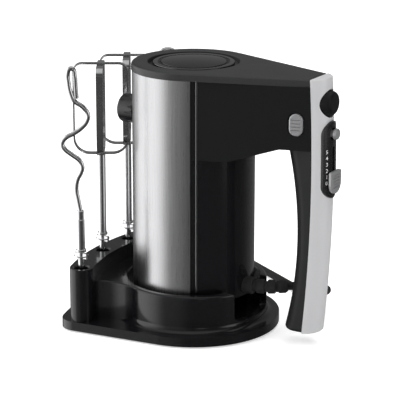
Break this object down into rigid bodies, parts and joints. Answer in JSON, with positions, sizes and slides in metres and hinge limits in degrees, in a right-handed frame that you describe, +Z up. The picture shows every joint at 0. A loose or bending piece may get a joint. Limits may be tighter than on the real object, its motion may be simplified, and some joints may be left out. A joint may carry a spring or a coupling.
{
  "type": "hand mixer",
  "caption": "Upright hand mixer with a steel-jacketed body and side handle, parked in a black storage stand with wire beaters, dough hooks and a coiled mains lead.",
  "frame": {"origin": "on the surface the stand rests on, on the axis of the mixer's round body", "axes": "+X towards the handle, -X towards the beaters and hooks, +Z up; the object is mirrored about y = 0 apart from its mains lead"},
  "size_m": [0.223, 0.2244, 0.1994],
  "materials": {
    "black_satin": "satin",
    "black_gloss": "gloss",
    "black_grip": "soft matt",
    "steel": "vertically brushed",
    "bright_trim": "polished",
    "silver_paint": "satin metallic paint",
    "wire_chrome": "polished",
    "grey_plastic": "plain",
    "laminations": "laminated",
    "copper": "enamelled wire",
    "brass": "plain",
    "carbon": "pressed carbon",
    "zinc": "die cast",
    "bronze": "sintered",
    "board": "circuit board",
    "screw_steel": "zinc plated",
    "cord_rubber": "matt",
    "gear_plastic": "acetal",
    "foot_rubber": "matt"
  },
  "bodies": {
    "stand": {"stand_shell": "black_gloss", "stand_base": "grey_plastic", "stand_feet": "foot_rubber", "stand_screws": "screw_steel"},
    "mixer": {"arm_left": "black_satin", "arm_right": "black_satin", "motor_tube": "black_gloss", "steel_jacket": "steel", "trim_strips": "bright_trim", "nose_cover": "black_satin", "vent_disc": "black_satin", "vent_dome": "black_gloss", "end_cap": "grey_plastic", "handle_cover": "silver_paint", "grip_sleeve": "black_grip", "control_panel": "black_satin", "socket_collar_left": "black_gloss", "socket_collar_right": "black_gloss", "stator_core": "laminations", "field_coils": "copper", "brush_bracket": "grey_plastic", "brush_holders": "brass", "carbon_brushes": "carbon", "motor_bracket": "zinc", "shaft_bearings": "bronze", "gear_frame": "zinc", "spindle_bushes": "bronze", "speed_board": "board", "turbo_switch": "grey_plastic", "housing_screws": "screw_steel", "cord_clamp": "grey_plastic", "cord_guard": "cord_rubber", "power_cord": "cord_rubber", "cord_coil": "cord_rubber", "plug_body": "cord_rubber", "plug_pins": "brass"},
    "armature": {"worm_shaft": "screw_steel", "rotor_core": "laminations", "rotor_windings": "copper", "commutator": "copper", "cooling_fan": "gear_plastic"},
    "drive_left": {"drive_gear_left": "gear_plastic", "spindle_left": "screw_steel"},
    "drive_right": {"drive_gear_right": "gear_plastic", "spindle_right": "screw_steel"},
    "ejector": {"eject_button": "black_satin", "eject_fork": "zinc", "eject_spring": "screw_steel"},
    "turbo_button": {"turbo_button": "silver_paint"},
    "speed_slider": {"speed_slider": "silver_paint"},
    "side_button_left": {"side_button_left": "silver_paint"},
    "side_button_right": {"side_button_right": "silver_paint"},
    "beater_left": {"beater_shaft_left": "wire_chrome", "beater_loops_left": "wire_chrome"},
    "beater_right": {"beater_shaft_right": "wire_chrome", "beater_loops_right": "wire_chrome"},
    "hook_left": {"hook_shaft_left": "wire_chrome", "hook_wire_left": "wire_chrome"},
    "hook_right": {"hook_shaft_right": "wire_chrome", "hook_wire_right": "wire_chrome"}
  },
  "joints": [
    {"name": "mixer_lift", "type": "slide", "parent": "stand", "child": "mixer", "axis": [0, 0, 1], "range_m": [0, 0.12]},
    {"name": "motor_spin", "type": "hinge", "parent": "mixer", "child": "armature", "pos_m": [0, 0, 0.161], "axis": [0, 0, 1], "continuous": true},
    {"name": "socket_spin_left", "type": "hinge", "parent": "mixer", "child": "drive_left", "pos_m": [0, -0.0175, 0.161], "axis": [1, 0, 0], "continuous": true},
    {"name": "socket_spin_right", "type": "hinge", "parent": "mixer", "child": "drive_right", "pos_m": [0, 0.0175, 0.161], "axis": [1, 0, 0], "continuous": true},
    {"name": "eject_push", "type": "slide", "parent": "mixer", "child": "ejector", "axis": [-1, 0, 0], "range_m": [0, 0.006], "stiffness_N_per_m": 900, "springref_m": -0.002},
    {"name": "turbo_push", "type": "slide", "parent": "mixer", "child": "turbo_button", "axis": [-1, 0, 0], "range_m": [0, 0.002], "stiffness_N_per_m": 400, "springref_m": -0.002},
    {"name": "speed_slide", "type": "slide", "parent": "mixer", "child": "speed_slider", "axis": [0, 0, 1], "range_m": [0, 0.0225]},
    {"name": "side_push_left", "type": "slide", "parent": "mixer", "child": "side_button_left", "axis": [0, 1, 0], "range_m": [0, 0.0015], "stiffness_N_per_m": 400, "springref_m": -0.002},
    {"name": "side_push_right", "type": "slide", "parent": "mixer", "child": "side_button_right", "axis": [0, -1, 0], "range_m": [0, 0.0015], "stiffness_N_per_m": 400, "springref_m": -0.002},
    {"name": "beater_left_lift", "type": "slide", "parent": "stand", "child": "beater_left", "axis": [0, 0, 1], "range_m": [0, 0.04]},
    {"name": "beater_right_lift", "type": "slide", "parent": "stand", "child": "beater_right", "axis": [0, 0, 1], "range_m": [0, 0.04]},
    {"name": "hook_left_lift", "type": "slide", "parent": "stand", "child": "hook_left", "axis": [0, 0, 1], "range_m": [0, 0.04]},
    {"name": "hook_right_lift", "type": "slide", "parent": "stand", "child": "hook_right", "axis": [0, 0, 1], "range_m": [0, 0.04]}
  ],
  "couplings": [
    {"joint": "socket_spin_right", "follows": "motor_spin", "ratio": 0.045455},
    {"joint": "socket_spin_left", "follows": "motor_spin", "ratio": -0.045455}
  ]
}
